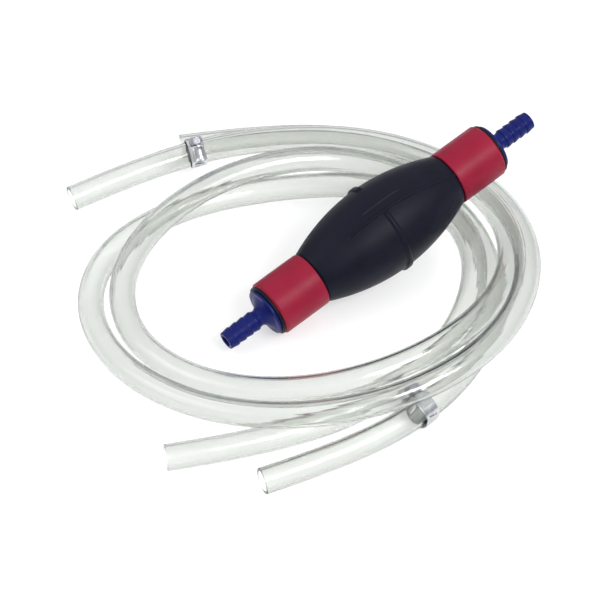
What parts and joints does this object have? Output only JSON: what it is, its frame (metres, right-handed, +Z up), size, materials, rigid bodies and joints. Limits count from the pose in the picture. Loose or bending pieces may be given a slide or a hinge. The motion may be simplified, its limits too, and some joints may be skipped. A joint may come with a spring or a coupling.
{
  "type": "siphon primer pump",
  "caption": "Hand-squeezed rubber bulb pump with one-way valves and barbed ends, with loose clear hoses and worm-drive hose clamps.",
  "frame": {"origin": "on the surface that everything lies on, under the middle of the pump", "axes": "+Z up, +X towards the pump's outlet end and along its longer side in plan, +Y across"},
  "size_m": [0.2504, 0.2625, 0.0592],
  "materials": {
    "bulb_rubber": "satin",
    "collar_red": "satin",
    "fitting_blue": "satin",
    "valve_plastic": "matte",
    "spring_steel": "bright",
    "clear_hose": "clear, glossy",
    "clamp_steel": "bright",
    "screw_steel": "satin"
  },
  "bodies": {
    "hoses": {"hose_1": "clear_hose", "hose_2": "clear_hose"},
    "pump": {"bulb": "bulb_rubber", "inlet_collar": "collar_red", "inlet_fitting": "fitting_blue", "inlet_valve_seat": "valve_plastic", "inlet_valve_cage": "valve_plastic", "inlet_valve_spring": "spring_steel"},
    "outlet_end": {"outlet_collar": "collar_red", "outlet_fitting": "fitting_blue", "outlet_valve_seat": "valve_plastic", "outlet_valve_cage": "valve_plastic", "outlet_valve_spring": "spring_steel"},
    "inlet_valve": {"inlet_poppet": "valve_plastic"},
    "outlet_valve": {"outlet_poppet": "valve_plastic"},
    "clamp_1": {"clamp_1_band": "clamp_steel", "clamp_1_housing": "clamp_steel"},
    "clamp_2": {"clamp_2_band": "clamp_steel", "clamp_2_housing": "clamp_steel"},
    "clamp_1_worm": {"clamp_1_screw": "screw_steel"},
    "clamp_2_worm": {"clamp_2_screw": "screw_steel"}
  },
  "joints": [
    {"name": "pump_lift", "type": "slide", "parent": "hoses", "child": "pump", "axis": [0, 0, 1], "range_m": [0, 0.12]},
    {"name": "bulb_squeeze", "type": "slide", "parent": "pump", "child": "outlet_end", "axis": [0.7767, 0.5896, 0.2215], "range_m": [0, 0.0025], "stiffness_N_per_m": 4000, "deforming": ["bulb"]},
    {"name": "inlet_valve_lift", "type": "slide", "parent": "pump", "child": "inlet_valve", "axis": [0.7767, 0.5896, 0.2215], "range_m": [0, 0.002], "stiffness_N_per_m": 25, "springref_m": -0.001, "deforming": ["inlet_valve_spring"]},
    {"name": "outlet_valve_lift", "type": "slide", "parent": "outlet_end", "child": "outlet_valve", "axis": [0.7767, 0.5896, 0.2215], "range_m": [0, 0.002], "stiffness_N_per_m": 25, "springref_m": -0.001, "deforming": ["outlet_valve_spring"]},
    {"name": "clamp_1_slide", "type": "slide", "parent": "hoses", "child": "clamp_1", "axis": [0.9534, 0.288, 0.0894], "range_m": [-0.004, 0.004]},
    {"name": "clamp_1_screw_turn", "type": "hinge", "parent": "clamp_1", "child": "clamp_1_worm", "pos_m": [-0.09227, 0.06773, 0.02045], "axis": [-0.2455, 0.569, 0.7849], "continuous": true},
    {"name": "clamp_2_slide", "type": "slide", "parent": "hoses", "child": "clamp_2", "axis": [-0.6833, -0.7301, 0], "range_m": [-0.004, 0.004]},
    {"name": "clamp_2_screw_turn", "type": "hinge", "parent": "clamp_2", "child": "clamp_2_worm", "pos_m": [0.01127, -0.09827, 0.01404], "axis": [0.3977, -0.3722, 0.8387], "continuous": true}
  ]
}
